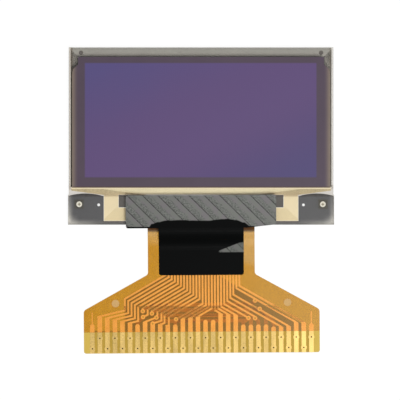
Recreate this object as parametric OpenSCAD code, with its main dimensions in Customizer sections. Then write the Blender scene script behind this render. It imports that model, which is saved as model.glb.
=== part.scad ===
// Small OLED display panel with a soldering-type flexible tail.
// The panel lies on its back: +Z points out of the screen and +Y to the top of the screen.
// The origin is the centre of the cover glass's rear face, the face that the panel rests on.

/* [Screen] */
// Width of the picture area
picture_w = 30.3; // [27:0.1:40]
// Height of the picture area
picture_h = 14.8; // [12:0.1:24]
// Distance from the side of the glass to the picture area
picture_side = 2; // [1.8:0.05:2.6]
// Distance from the top of the glass to the picture area
picture_drop = 2.05; // [1.8:0.05:2.5]
// Distance from the cover glass's lower edge up to the picture area
picture_lift = 1.45; // [1.2:0.05:1.6]

/* [Glass] */
// Thickness of the front glass
front_glass_t = 0.7; // [0.4:0.05:1.1]
// How much the front glass narrows on each side above the ledge
glass_step = 0.1; // [0.02:0.01:0.3]
// Height of the bare ledge below the rear cover glass
ledge_h = 4.7; // [4.5:0.05:5.2]
// Height of the glass's side steps above its lower edge
step_up = 3.85; // [3:0.05:4.1]
// Thickness of the rear cover glass
cover_glass_t = 0.5; // [0.4:0.05:1.1]
// Depth of the pocket etched into the cover glass
pocket_depth = 0.25; // [0.16:0.01:0.3]

/* [Seal and inner films] */
// Thickness of the glue line between the two glasses
seal_t = 0.05; // [0.05:0.01:0.1]
// Distance from the edge of the glass to the glue line
seal_inset = 0.2; // [0.1:0.05:0.3]
// Distance from the glue line to the cathode
seal_gap = 0.15; // [0.1:0.05:0.3]
// Thickness of the light-emitting layers
emitter_t = 0.02; // [0.01:0.005:0.03]
// Thickness of the metal cathode behind them
cathode_t = 0.02; // [0.01:0.005:0.03]
// How far the cathode reaches past the picture area
cathode_margin = 0.2; // [0.1:0.05:0.3]
// Distance from the pocket's wall to the moisture absorber
absorber_gap = 2; // [0.5:0.1:4]
// Thickness of the moisture absorber
absorber_t = 0.12; // [0.05:0.01:0.14]

/* [Polarizer and marks] */
// Thickness of the polarizer
polarizer_t = 0.2; // [0.1:0.01:0.3]
// Distance from the side of the glass to the polarizer
polarizer_side = 0.44; // [0.2:0.02:0.9]
// Distance from the top of the glass to the polarizer
polarizer_drop = 1.26; // [0.9:0.02:1.7]
// Distance from the cover glass's lower edge up to the polarizer
polarizer_lift = 0.1; // [0.02:0.02:0.5]
// Width of the relief cut from the polarizer's top corners
relief_w = 0.78; // [0.3:0.02:1.2]
// Height of the relief cut from the polarizer's top corners
relief_h = 0.98; // [0.3:0.02:1.5]
// Height of the slanted end of the relief
relief_slant = 0.6; // [0.2:0.05:1]
// Diameter of the round marks in the top corners
top_mark_d = 0.58; // [0.3:0.02:0.8]
// Distance of the round marks from the side of the glass
top_mark_side = 1.55; // [0.8:0.05:2.5]
// Distance of the round marks from the top of the glass
top_mark_drop = 0.66; // [0.5:0.02:0.8]

/* [Ledge] */
// Thickness of the metal film on the ledge
metal_t = 0.02; // [0.01:0.005:0.03]
// Width of each dark metal panel
panel_w = 4.6; // [4:0.05:5]
// Height of the panel at its inner edge
panel_inner_h = 3.7; // [3.2:0.05:3.8]
// Height of the panel at its outer edge
panel_outer_h = 3.75; // [3:0.05:3.8]
// Rise of the panel's arched top above its chord
panel_arch = 0.33; // [0.1:0.01:0.35]
// Radius of the panel's upper outer corner
panel_r = 0.2; // [0.05:0.05:0.2]
// Height of the metal rail along the lower edge of the glass
rail_h = 0.47; // [0.2:0.01:0.7]
// Diameter of the window around each cross mark
window_d = 0.74; // [0.5:0.02:1.2]
// Length of the cross inside the window
cross_l = 0.4; // [0.2:0.02:0.46]
// Width of the bars of the cross
cross_w = 0.12; // [0.06:0.01:0.18]
// Distance of the cross mark from the side of the glass
window_side = 1.42; // [1:0.02:1.8]
// Height of the cross mark above the lower edge of the glass
window_up = 2.65; // [1.6:0.05:2.7]
// Diameter of the small round window
dot_d = 0.36; // [0.2:0.02:0.6]
// Distance of the small window from the side of the glass
dot_side = 3.95; // [3.2:0.05:3.95]
// Height of the small window above the lower edge of the glass
dot_up = 2.57; // [1.2:0.05:3]
// Width of the lead field around the driver chip
field_w = 21.4; // [19.6:0.1:22]
// Height of the lead field's lower edge above the lower edge of the glass
field_up = 2.25; // [1.8:0.05:2.5]
// Height of the lead field's wide part
field_h = 1.6; // [1.2:0.05:1.8]
// Width of the lead field's foot, where the tail is bonded
field_foot_w = 13.2; // [11:0.1:14.5]
// Thickness of the protective coating on the ledge
coating_t = 0.04; // [0.03:0.005:0.06]
// Distance from the side of the glass to the coating
coating_side = 0.38; // [0.3:0.01:1]
// Thickness of the coating's wedge at its outer end
coating_wedge = 0.25; // [0.05:0.01:0.3]

/* [Driver chip] */
// Width of the driver chip
chip_w = 6.8; // [4:0.1:12]
// Height of the driver chip
chip_h = 0.9; // [0.6:0.05:1.1]
// Thickness of the driver chip
chip_t = 0.3; // [0.15:0.01:0.34]
// Thickness of the conductive bond films
bond_t = 0.03; // [0.02:0.005:0.04]
// How far a bond film reaches past what it holds
bond_margin = 0.06; // [0.02:0.02:0.1]

/* [Tail] */
// Overall width of the tail
tail_w = 30.7; // [30.2:0.1:33]
// Width of the tail's neck
neck_w = 13.9; // [13:0.1:15]
// Reach of the tail below the glass
tail_reach = 16.7; // [16.3:0.1:20]
// Length of tail bonded under the glass
bond_l = 1.3; // [0.8:0.1:1.6]
// Distance from the glass to the corner where the shoulders start
shoulder_start = 6.45; // [6:0.05:6.8]
// Slope of the shoulders in degrees
shoulder_angle = 29; // [24:1:32]
// Radius in the corner between neck and shoulder
neck_r = 0.5; // [0.2:0.1:1.5]
// Radius of the shoulders' outer corners
shoulder_r = 0.55; // [0.2:0.05:1.5]
// Radius of the tail's lower corners
foot_r = 0.3; // [0.1:0.05:0.5]
// Thickness of the base film
base_t = 0.05; // [0.025:0.005:0.075]
// Thickness of each copper layer
copper_t = 0.02; // [0.012:0.002:0.035]
// Thickness of each cover film
film_t = 0.03; // [0.02:0.005:0.05]
// Distance from the glass to where the tail starts to bend down
bend_start = 0.3; // [0.2:0.05:0.6]
// Length of the bend measured along the table
bend_run = 2.6; // [2:0.1:3.2]
// How far the tail was bonded out of square, in degrees
tail_skew = 0.4; // [0:0.1:0.6]
// Distance of the locating windows from the tail's centre line
locator_x = 11.2; // [10.6:0.05:11.6]
// Distance of the locating windows from the glass
locator_drop = 10.2; // [10:0.05:10.4]
// Diameter of the locating windows in the cover films
locator_d = 1; // [0.5:0.05:1.1]

/* [Contacts] */
// Distance between neighbouring contacts
contact_pitch = 0.983; // [0.95:0.005:1]
// Width of a contact
contact_w = 0.59; // [0.4:0.01:0.65]
// Length of the bare contacts, up to the cover film
contact_l = 2.76; // [2.3:0.02:3]
// Thickness of the gold plating
gold_t = 0.015; // [0.01:0.001:0.018]
// Diameter of the plated holes
hole_d = 0.25; // [0.2:0.01:0.3]
// Wall of the plating inside a hole
barrel_wall = 0.03; // [0.02:0.005:0.05]
// Diameter of the copper ring around a hole
ring_d = 0.58; // [0.45:0.01:0.62]
// Diameter of the round swelling of a contact around its hole
swelling_d = 0.76; // [0.66:0.02:0.8]
// Distance of the upper row of holes from the cover film
upper_holes = 0.77; // [0.5:0.01:1]
// Distance of the lower row of holes from the tail's lower edge
lower_holes = 0.63; // [0.5:0.01:0.8]

/* [Traces] */
// Distance between neighbouring traces
trace_pitch = 0.4; // [0.36:0.01:0.42]
// Width of a trace
trace_w = 0.24; // [0.12:0.01:0.26]
// How far the group of traces sits to the right of the centre line
trace_shift = 0.14; // [-0.3:0.02:0.3]
// Slope of the fan in degrees
fan_angle = 30; // [28:0.5:31]
// Slope of the last run to the outer left contacts in degrees
shallow_angle = 13; // [5:1:16]
// Distance between neighbouring columns beside the left shoulder
column_pitch = 0.43; // [0.38:0.01:0.46]
// Width of a rear bus line
bus_w = 0.48; // [0.3:0.02:0.54]
// Distance between neighbouring rear bus lines
bus_pitch = 0.7; // [0.66:0.01:0.72]

/* [Tape] */
// Thickness of the black tape
tape_t = 0.06; // [0.03:0.01:0.12]
// Width of the tape's bar on the glass
tape_w = 19.5; // [17:0.1:21]
// Height of the tape's bar above the lower edge of the glass
tape_up = 3.85; // [3:0.05:4.1]
// How far the bar overhangs the lower edge of the glass
tape_overhang = 0.42; // [0.2:0.02:0.6]
// How much is trimmed off the bar's lower right corner
tape_trim = 0.4; // [0.05:0.05:0.45]
// Radius of the tape's corners
tape_r = 0.3; // [0.05:0.05:0.4]
// Width of the tongue that lies on the neck
tongue_w = 11.05; // [8:0.05:12]
// Distance from the glass to the end of the tongue
tongue_reach = 6.57; // [5:0.01:6.8]
// Length of the tongue's slope measured along the table
tongue_run = 2.9; // [2.4:0.1:3.1]

/* [Hidden] */

arc_steps = 6;
$fn = 32;

// Heights above the table
rear_face = cover_glass_t + seal_t;
front_face = rear_face + front_glass_t;

// The glasses take their size from the picture area
upper_w = picture_w + 2 * picture_side;
glass_w = upper_w + 2 * glass_step;
cover_h = picture_drop + picture_h + picture_lift;
glass_top = cover_h / 2;
cover_foot = -cover_h / 2;
glass_foot = cover_foot - ledge_h;
// The glue line fills the border up to the cathode
seal_w = picture_lift - seal_inset - cathode_margin - seal_gap;
pocket_w = upper_w - 2 * (seal_inset + seal_w);
pocket_h = cover_h - 2 * (seal_inset + seal_w);
absorber_w = pocket_w - 2 * absorber_gap;
absorber_h = pocket_h - 2 * absorber_gap;
polarizer_w = upper_w - 2 * polarizer_side;

// Layers of the tail, measured up from its underside
rear_copper_at = film_t;
base_at = rear_copper_at + copper_t;
front_copper_at = base_at + base_t;
front_film_at = front_copper_at + copper_t;
tail_t = front_film_at + film_t;
tail_lift = rear_face - metal_t - bond_t - front_film_at;
bend_end = bend_start + bend_run;
film_end = tail_reach - contact_l;

// The tail's front film starts clear of the glass edge
film_gap = 0.05;
// Neighbouring films on the ledge keep this distance
ledge_gap = 0.03;
// The coating's slanted edge starts this far above the metal panel
slant_gap = 0.15;
// The tail's neck keeps this distance from the rail on each side
rail_gap = 0.3;

// The tongue of the tape slopes from the front of the glass to the front of the tail
tongue_drop = front_face - tail_t;

contact_count = 30;
trace_count = 25;
middle_trace = 13;

// Groups of traces: first, last, side they fan to, distance of the first bend below the shoulders,
// step to the next bend
fan_groups = [
    [1, 12, -1, 0.08, 0.287],
    [13, 16, -1, 3.84, 0.205],
    [17, 19, 1, 4.72, -0.24],
    [20, 23, 1, 3.91, -0.405],
    [24, 25, 1, 1.86, -0.31]
];
// The first traces run down beside the left shoulder, then to contacts 2, 3 and so on
dogleg_count = 5;
dogleg_up = 2.84;
dogleg_step = 0.348;
dogleg_offset = 0.09;
// Traces that fan straight to a contact: trace, contact
straight_runs = [
    [14, 13], [15, 14], [16, 15], [17, 18], [18, 19], [19, 20], [22, 26], [23, 27], [24, 28], [25, 29]
];
// Traces that fan to a hole: trace, nearest contact, offset from that contact, drop to the hole
hole_runs = [
    [6, 8, -0.29, 0.36], [8, 9, -0.09, 0.32], [13, 12, 0.11, 0], [20, 22, -0.3, 0], [21, 22, 0.55, 0.18]
];
// Traces with a short column: trace, contact, column's offset, height of its lower end above the
// cover film's edge, contact at the end, end's offset, end's height
column_runs = [
    [7, 8, 0.35, 2.26, 8, -0.26, 1.97],
    [9, 9, 0.63, 2.25, 9, 0.49, 1.89],
    [10, 10, 0.17, 1.48, 9, 0, 1.11],
    [11, 11, -0.42, 1.16, 10, 0, 0.98]
];
// A column that ends straight in a contact: trace, contact, offset, height of the contact's top
straight_column = [12, 11, 0.14, 0.92];
// The columns that end in a hole
holed_columns = [7, 9, 10];
// The one of them whose hole sits at the top of a contact: trace, contact, height
holed_contact = [10, 9, 1.11];
// Holes beside the fan's slanted runs: trace, nearest contact, offset from that contact, rise
slant_holes = [[23, 24, -0.8, 0.1], [24, 23, -0.42, -0.24]];
// The hole that also feeds contact 8: its trace, the contact, height of the contact's top
side_feed = [9, 8, 1.33];
// Contacts with no front trace: contact, height of its round top above the cover film's edge
stub_contacts = [
    [1, 1.09], [7, 1.05], [12, 0.99], [16, 1.55], [17, 1.55], [21, 0.91], [22, 0.91], [23, 0.91],
    [24, 0.91], [25, 0.62], [30, 1.02]
];
// Thin lines that lead up from the outermost contacts
plating_line_w = 0.14;
plating_line_l = 1.5;
// Rear bus lines from the lowest up, each with its holes by their place in via_places: left end
// first, right end second
bus_holes = [[7, 3, 2], [6, 4], [1, 8], [0, 9]];
first_bus_up = 1.42;
// Rear lines that lead from a hole, or from the lowest bus, down to a contact
hole_feeds = [[5, 7], [2, 12], [3, 22], [4, 23], [8, 24], [8, 25]];
bus_feeds = [16, 17, 21];
rear_contact_up = 0.6;
// Rear copper keeps this distance from holes of other lines
copper_gap = 0.12;
// Slanted tops of the contacts stay this much inside the traces that they continue
top_tuck = 0.02;

// ---------- outlines ----------

function unit(v) = v / norm(v);
function turned(v) = [-v[1], v[0]];
// Points mirrored to the left, in an order that closes the outline
function mirrored(points) = [for (i = [len(points) - 1:-1:0]) [-points[i][0], points[i][1]]];

// Points of an arc about a centre, from one angle over a sweep
function arc(centre, r, from, sweep, steps) = [
    for (i = [0:steps]) centre + r * [cos(from + sweep * i / steps), sin(from + sweep * i / steps)]
];

// A corner turned into an arc of radius r that is tangent to both sides
function round_corner(before, corner, after, r) =
    let (a = unit(before - corner))
    let (b = unit(after - corner))
    let (half = acos(a * b) / 2)
    let (centre = corner + unit(a + b) * r / sin(half))
    let (start = corner + a * r / tan(half) - centre)
    let (side = cross(a, b) > 0 ? -1 : 1)
    arc(centre, r, atan2(start[1], start[0]), side * (180 - 2 * half), arc_steps);

// An outline whose corners are rounded; a radius of 0 keeps the corner sharp
function rounded(points, radii) =
    let (n = len(points))
    [
        for (i = [0:n - 1])
            each radii[i] > 0
                ? round_corner(points[(i + n - 1) % n], points[i], points[(i + 1) % n], radii[i])
                : [points[i]]
    ];

// Points of a shallow arch between two points, rising above their chord
function arch(left, right, rise) =
    let (half = norm(right - left) / 2)
    let (r = (half * half + rise * rise) / (2 * rise))
    let (along = unit(right - left))
    let (centre = (left + right) / 2 - turned(along) * (r - rise))
    let (opening = asin(half / r))
    let (tilt = atan2(along[1], along[0]))
    arc(centre, r, 90 + tilt + opening, -2 * opening, 2 * arc_steps);

// The outline of a line of constant width with mitred corners
function mitre(points, i) =
    let (last = len(points) - 1)
    let (a = turned(unit(points[max(i, 1)] - points[max(i, 1) - 1])))
    let (b = turned(unit(points[min(i, last - 1) + 1] - points[min(i, last - 1)])))
    (a + b) / (1 + a * b);
function line_outline(points, w) = concat(
    [for (i = [0:len(points) - 1]) points[i] + mitre(points, i) * w / 2],
    [for (i = [len(points) - 1:-1:0]) points[i] - mitre(points, i) * w / 2]
);

// ---------- bends ----------

// An S bend is two equal arcs that meet halfway
function bend_r(run, drop) = (run * run + drop * drop) / (4 * drop);
function bend_angle(run, drop) = 2 * atan(drop / run);

// Height line of a layer that lies d above the underside of a sheet with an S bend
function bend_line(from, start, run, drop, to, low, d) =
    let (r = bend_r(run, drop))
    let (a = bend_angle(run, drop))
    concat(
        [[-from, low + drop + d]],
        arc([-start, low + drop - r], r + d, 90, a, arc_steps),
        arc([-start - run, low + r], r - d, 270 + a, -a, arc_steps),
        [[-to, low + d]]
    );

// A sheet with an S bend across its length, between two heights above its underside
module bent_sheet(left, right, from, start, run, drop, to, low, d0, d1) {
    under = bend_line(from, start, run, drop, to, low, d0);
    over = bend_line(from, start, run, drop, to, low, d1);
    translate([left, 0, 0])
        rotate([90, 0, 90])
            linear_extrude(right - left)
                polygon(concat(under, [for (i = [len(over) - 1:-1:0]) over[i]]));
}

// One layer of the tail from under the glass to the end of its bend
module bent_layer(left, right, from, d0, d1)
    bent_sheet(left, right, from, bend_start, bend_run, tail_lift, bend_end, 0, d0, d1);

// The tail and the tape are turned a little about the middle of the lower glass edge
module on_tail()
    translate([0, glass_foot, 0])
        rotate([0, 0, tail_skew])
            children();

module at_height(z, t) translate([0, 0, z]) linear_extrude(t) children();

// ---------- glass ----------

module front_glass() {
    shoulder = glass_foot + step_up;
    color([0.75, 0.82, 0.8, 0.5])
        at_height(rear_face, front_glass_t)
            polygon([
                [-glass_w / 2, glass_foot], [glass_w / 2, glass_foot],
                [glass_w / 2, shoulder], [upper_w / 2, shoulder + glass_step],
                [upper_w / 2, glass_top], [-upper_w / 2, glass_top],
                [-upper_w / 2, shoulder + glass_step], [-glass_w / 2, shoulder]
            ]);
}

// A block centred on the cover glass
module centred_block(w, h, z, t)
    translate([-w / 2, -h / 2, z])
        cube([w, h, t]);

module cover_glass() {
    color([0.7, 0.78, 0.76])
        difference() {
            centred_block(upper_w, cover_h, 0, cover_glass_t);
            centred_block(pocket_w, pocket_h, cover_glass_t - pocket_depth, pocket_depth + 1);
        }
}

// The glue line, which closes around the top marks
module glass_seal()
    color([0.85, 0.83, 0.72])
        difference() {
            centred_block(upper_w - 2 * seal_inset, cover_h - 2 * seal_inset, cover_glass_t, seal_t);
            centred_block(pocket_w, pocket_h, cover_glass_t - 1, seal_t + 2);
            top_mark_discs();
        }

// A film over the picture area, hanging from the front glass
module picture_film(z, t, margin)
    translate([-picture_w / 2 - margin, glass_top - picture_drop - picture_h - margin, z - t])
        cube([picture_w + 2 * margin, picture_h + 2 * margin, t]);

module emitter_layers()
    color([0.36, 0.32, 0.5])
        picture_film(rear_face, emitter_t, 0);

module cathode_film()
    color([0.72, 0.73, 0.75])
        picture_film(rear_face - emitter_t, cathode_t, cathode_margin);

module moisture_absorber()
    color([0.9, 0.9, 0.87])
        centred_block(absorber_w, absorber_h, cover_glass_t - pocket_depth, absorber_t);

module polarizer() {
    top = glass_top - polarizer_drop;
    foot = cover_foot + polarizer_lift;
    side = polarizer_w / 2;
    right = [
        [side, foot],
        [side, top - relief_h - 2 * relief_slant],
        [side - relief_w / 8, top - relief_h - relief_slant],
        [side - relief_w, top - relief_h],
        [side - relief_w, top]
    ];
    color([0.34, 0.3, 0.42])
        at_height(front_face, polarizer_t)
            polygon(concat(right, mirrored(right)));
}

module top_mark_discs()
    for (side = [-1, 1])
        translate([side * (upper_w / 2 - top_mark_side), glass_top - top_mark_drop, rear_face - metal_t])
            cylinder(d = top_mark_d, h = metal_t);

module top_marks()
    color([0.45, 0.42, 0.4])
        top_mark_discs();

// ---------- ledge ----------

// The right panel; the left one is its mirror image
module metal_panel() {
    outer = glass_w / 2;
    inner = outer - panel_w;
    corner = [outer, glass_foot + panel_outer_h];
    top = arch([inner, glass_foot + panel_inner_h], corner, panel_arch);
    arched = len(top) - 2;
    rail_end = field_foot_w / 2 + rail_gap;
    at_height(rear_face - metal_t, metal_t) {
        difference() {
            polygon(concat(
                [[outer, glass_foot], [rail_end, glass_foot], [rail_end, glass_foot + rail_h]],
                [[inner, glass_foot + rail_h]],
                [for (i = [0:arched]) top[i]],
                round_corner(top[arched], corner, [outer, glass_foot], panel_r)
            ));
            translate([outer - window_side, glass_foot + window_up])
                circle(d = window_d);
            translate([outer - dot_side, glass_foot + dot_up])
                circle(d = dot_d);
        }
        translate([outer - window_side, glass_foot + window_up])
            for (size = [[cross_l, cross_w], [cross_w, cross_l]])
                square(size, center = true);
    }
}

module left_metal_panel()
    color([0.37, 0.37, 0.38])
        mirror([1, 0, 0])
            metal_panel();

module right_metal_panel()
    color([0.37, 0.37, 0.38])
        metal_panel();

// A wide bar around the driver chip with a foot down to the glass edge; grown leaves a gap around it
module field_shape(grown) {
    translate([-field_w / 2 - grown, glass_foot + field_up - grown])
        square([field_w + 2 * grown, field_h + 2 * grown]);
    translate([-field_foot_w / 2 - grown, glass_foot])
        square([field_foot_w + 2 * grown, field_up + field_h / 2]);
}

module lead_field()
    color([0.42, 0.41, 0.39])
        at_height(rear_face - metal_t, metal_t)
            field_shape(0);

module ledge_coating() {
    inner = glass_w / 2 - panel_w - ledge_gap;
    outer = glass_w / 2 - coating_side;
    right = [
        [inner, glass_foot + rail_h + ledge_gap],
        [inner, glass_foot + panel_inner_h + slant_gap],
        [outer, cover_foot - ledge_gap - coating_wedge],
        [outer, cover_foot - ledge_gap]
    ];
    color([0.92, 0.85, 0.68])
        at_height(rear_face - coating_t, coating_t)
            difference() {
                polygon(concat(right, mirrored(right)));
                field_shape(ledge_gap);
            }
}

module chip_box(w, h, top, t)
    translate([-w / 2, glass_foot + field_up + (field_h - h) / 2, top - t])
        cube([w, h, t]);

module chip_bond_film()
    color([0.6, 0.58, 0.5])
        chip_box(chip_w + 2 * bond_margin, chip_h + 2 * bond_margin, rear_face - metal_t, bond_t);

module driver_chip()
    color([0.2, 0.21, 0.23])
        chip_box(chip_w, chip_h, rear_face - metal_t - bond_t, chip_t);

module tail_bond_film()
    color([0.6, 0.58, 0.5])
        on_tail()
            translate([-trace_pitch * trace_count / 2, bond_margin, rear_face - metal_t - bond_t])
                cube([trace_pitch * (trace_count + 1), bond_l - bond_margin, bond_t]);

// ---------- tail ----------

// Outline of the tail's flat part from the bend down to a given distance from the glass
function tail_outline(end, end_r) =
    let (neck = neck_w / 2)
    let (side = tail_w / 2)
    let (drop = (side - neck) * tan(shoulder_angle))
    rounded(
        [
            [neck, -bend_end], [-neck, -bend_end],
            [-neck, -shoulder_start], [-side, -shoulder_start - drop], [-side, -end],
            [side, -end], [side, -shoulder_start - drop], [neck, -shoulder_start]
        ],
        [0, 0, neck_r, shoulder_r, end_r, end_r, shoulder_r, neck_r]
    );

module film_layer(from, end, end_r, d0, t) {
    bent_layer(-neck_w / 2, neck_w / 2, from, d0, d0 + t);
    at_height(d0, t)
        polygon(tail_outline(end, end_r));
}

function contact_x(n) = (n - (contact_count + 1) / 2) * contact_pitch;
function hole_y(n) = n % 2 == 0 ? -film_end - upper_holes : -tail_reach + lower_holes;

function trace_x(k) = trace_shift + (k - middle_trace) * trace_pitch;
function group_of(k) = [for (g = fan_groups) if (k >= g[0] && k <= g[1]) g][0];
// The fan keeps its place relative to the shoulders
function bend_y(k) = -shoulder_start - group_of(k)[3] - (k - group_of(k)[0]) * group_of(k)[4];
// Height of a trace's slanted run at a given place
function slant_y(k, x) = bend_y(k) - abs(x - trace_x(k)) * tan(fan_angle);
function slanted(k, goal) = concat(trace_head(k), [[goal, slant_y(k, goal)]]);

function trace_head(k) = [[trace_x(k), -bend_end], [trace_x(k), bend_y(k)]];
function up_from_film(h) = -film_end + h;

function dogleg(k) =
    let (x = contact_x(dogleg_count + 2) + dogleg_offset - (dogleg_count - k) * column_pitch)
    let (low = up_from_film(dogleg_up - (k - 1) * dogleg_step))
    let (goal = contact_x(k + 1))
    concat(
        trace_head(k),
        [[x, slant_y(k, x)], [x, low], [goal, low - (x - goal) * tan(shallow_angle)]]
    );
function dropped(run) =
    let (x = contact_x(run[1]) + run[2])
    concat(slanted(run[0], x), run[3] > 0 ? [[x, slant_y(run[0], x) - run[3]]] : []);
function column(run) =
    let (x = contact_x(run[1]) + run[2])
    concat(
        trace_head(run[0]),
        [
            [x, slant_y(run[0], x)],
            [x, up_from_film(run[3])],
            [contact_x(run[4]) + run[5], up_from_film(run[6])]
        ]
    );

function straight_down(run) =
    let (x = contact_x(run[1]) + run[2])
    concat(slanted(run[0], x), [[x, up_from_film(run[3]) - trace_w]]);

routes = concat(
    [for (k = [1:dogleg_count]) dogleg(k)],
    [for (run = straight_runs) slanted(run[0], contact_x(run[1]))],
    [for (run = hole_runs) dropped(run)],
    [for (run = column_runs) column(run)],
    [straight_down(straight_column)]
);

function end_of(points) = points[len(points) - 1];
feed_from = end_of([for (run = column_runs) if (run[0] == side_feed[0]) column(run)][0]);
via_places = concat(
    [for (run = hole_runs) end_of(dropped(run))],
    [for (run = column_runs) if (len(search(run[0], holed_columns)) > 0) end_of(column(run))],
    [for (h = slant_holes) let (x = contact_x(h[1]) + h[2]) [x, slant_y(h[0], x) + h[3]]]
);
contact_holes = [for (n = [1:contact_count]) [contact_x(n), hole_y(n)]];

feed_run = [feed_from, [contact_x(side_feed[1]), up_from_film(side_feed[2])]];
// The last piece of a route gives its contact's slanted top: contact, height, slope
function top_from(n, route) =
    let (last = end_of(route))
    let (before = route[len(route) - 2])
    [n, last[1], (last[1] - before[1]) / (last[0] - before[0])];
slanted_tops = concat(
    [for (k = [1:dogleg_count]) top_from(k + 1, dogleg(k))],
    [for (run = straight_runs) top_from(run[1], slanted(run[0], contact_x(run[1])))],
    [for (run = column_runs) if (run[5] == 0 && run[0] != holed_contact[0]) top_from(run[4], column(run))],
    [top_from(side_feed[1], feed_run)]
);
// Contacts with a level or round top: contact, height
level_tops = concat(
    [[holed_contact[1], up_from_film(holed_contact[2])]],
    [[straight_column[1], up_from_film(straight_column[3])]],
    [for (stub = stub_contacts) [stub[0], up_from_film(stub[1]) - contact_w / 2]]
);

// One outline for a contact, with a round swelling where its plated hole is; its top may slope
module contact(n, top, slope = 0) {
    half = contact_w / 2;
    rise = slope == 0 ? 0 : trace_w / 2 * sqrt(1 + slope * slope) - top_tuck;
    opening = asin(contact_w / swelling_d);
    swelling = arc([0, hole_y(n)], swelling_d / 2, 90 - opening, 2 * opening - 180, arc_steps);
    translate([contact_x(n), 0])
        polygon(concat(
            [[-half, top + rise - slope * half], [half, top + rise + slope * half]],
            swelling,
            [[half, -tail_reach], [-half, -tail_reach]],
            [for (i = [len(swelling) - 1:-1:0]) [-swelling[i][0], swelling[i][1]]]
        ));
}

module holes(places, z, t)
    for (p = places)
        translate([p[0], p[1], z - 1])
            cylinder(d = hole_d, h = t + 2);

module front_traces()
    color([0.85, 0.58, 0.36])
        on_tail()
            difference() {
                union() {
                    for (k = [1:trace_count])
                        bent_layer(trace_x(k) - trace_w / 2, trace_x(k) + trace_w / 2, -bond_l,
                                   front_copper_at, front_film_at);
                    at_height(front_copper_at, copper_t) {
                        for (r = routes)
                            polygon(line_outline(r, trace_w));
                        for (top = slanted_tops)
                            contact(top[0], top[1], top[2]);
                        for (top = level_tops)
                            contact(top[0], top[1]);
                        for (stub = stub_contacts)
                            translate([contact_x(stub[0]), up_from_film(stub[1]) - contact_w / 2])
                                circle(d = contact_w);
                        for (p = via_places)
                            translate(p)
                                circle(d = ring_d);
                        for (n = [1, contact_count])
                            translate([contact_x(n) - plating_line_w / 2, -film_end])
                                square([plating_line_w, stub_contacts[0][1] + plating_line_l]);
                        polygon(line_outline(feed_run, trace_w));
                    }
                }
                holes(concat(via_places, contact_holes), front_copper_at, copper_t);
            }

function bus_y(i) = up_from_film(first_bus_up + i * bus_pitch);

// A bus line runs across behind the fan from hole to hole and makes room for the others' holes
module bus(i) {
    left = via_places[bus_holes[i][0]];
    right = via_places[bus_holes[i][1]];
    y = bus_y(i);
    difference() {
        polygon(line_outline(
            [left, [left[0] + abs(left[1] - y), y], [right[0] - abs(right[1] - y), y], right], bus_w));
        for (j = [0:len(via_places) - 1])
            if (len(search(j, bus_holes[i])) == 0)
                translate(via_places[j])
                    circle(d = ring_d + 2 * copper_gap);
    }
}

// A line from a point down to a rear contact
module feed(from, n) {
    x = contact_x(n);
    polygon(line_outline([from, [x, from[1] - abs(from[0] - x)], [x, -film_end - contact_w]], bus_w));
}

module rear_slab() at_height(rear_copper_at, copper_t) children();

module rear_traces()
    color([0.75, 0.45, 0.35])
        on_tail()
            difference() {
                union() {
                    rear_slab()
                        for (n = [1:contact_count])
                            contact(n, up_from_film(rear_contact_up));
                    for (i = [0:len(bus_holes) - 1])
                        rear_slab()
                            bus(i);
                    for (f = hole_feeds)
                        rear_slab()
                            feed(via_places[f[0]], f[1]);
                    for (n = bus_feeds)
                        rear_slab()
                            translate([contact_x(n) - bus_w / 2, -film_end])
                                square([bus_w, first_bus_up]);
                    for (p = via_places)
                        rear_slab()
                            translate(p)
                                circle(d = ring_d);
                }
                holes(concat(via_places, contact_holes), rear_copper_at, copper_t);
            }

module tail_base_film()
    color([0.8, 0.55, 0.2])
        on_tail()
            difference() {
                film_layer(-bond_l, tail_reach, foot_r, base_at, base_t);
                holes(concat(via_places, contact_holes), base_at, base_t);
            }

// A cover film with its two locating windows
module cover_film(from, d)
    on_tail()
        difference() {
            film_layer(from, film_end, 0, d, film_t);
            for (side = [-1, 1])
                translate([side * locator_x, -locator_drop, d - 1])
                    cylinder(d = locator_d, h = film_t + 2);
        }

module front_cover_film()
    color([0.85, 0.6, 0.2])
        cover_film(film_gap, front_film_at);

module rear_cover_film()
    color([0.85, 0.6, 0.2])
        cover_film(-bond_l, 0);

module contact_gold(z)
    on_tail()
        difference() {
            at_height(z, gold_t)
                for (n = [1:contact_count])
                    contact(n, -film_end);
            holes(contact_holes, z, gold_t);
        }

module front_contact_gold()
    color([0.93, 0.8, 0.5])
        contact_gold(front_film_at);

module rear_contact_gold()
    color([0.93, 0.8, 0.5])
        contact_gold(rear_copper_at - gold_t);

module barrels(places, z, top)
    for (p = places)
        translate([p[0], p[1], z])
            difference() {
                cylinder(d = hole_d, h = top - z);
                translate([0, 0, -1])
                    cylinder(d = hole_d - 2 * barrel_wall, h = top - z + 2);
            }

module hole_plating()
    color([0.8, 0.65, 0.4])
        on_tail() {
            barrels(via_places, rear_copper_at, front_film_at);
            barrels(contact_holes, rear_copper_at - gold_t, front_film_at + gold_t);
        }

// ---------- tape ----------

module ledge_tape() {
    side = tape_w / 2;
    tongue = tongue_w / 2;
    end = tape_overhang + tongue_run;
    color([0.1, 0.1, 0.1])
        on_tail() {
            at_height(front_face, tape_t)
                polygon(rounded(
                    [
                        [-side, tape_up], [-side, -tape_overhang], [tongue + tape_trim, -tape_overhang],
                        [side, -tape_overhang + tape_trim], [side, tape_up]
                    ],
                    [tape_r, tape_r, 0, tape_r, tape_r]
                ));
            bent_sheet(-tongue, tongue, 0, tape_overhang, tongue_run, tongue_drop, end, tail_t, 0, tape_t);
            at_height(tail_t, tape_t)
                polygon(rounded(
                    [[tongue, -end], [-tongue, -end], [-tongue, -tongue_reach], [tongue, -tongue_reach]],
                    [0, 0, tape_r, tape_r]
                ));
        }
}

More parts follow.
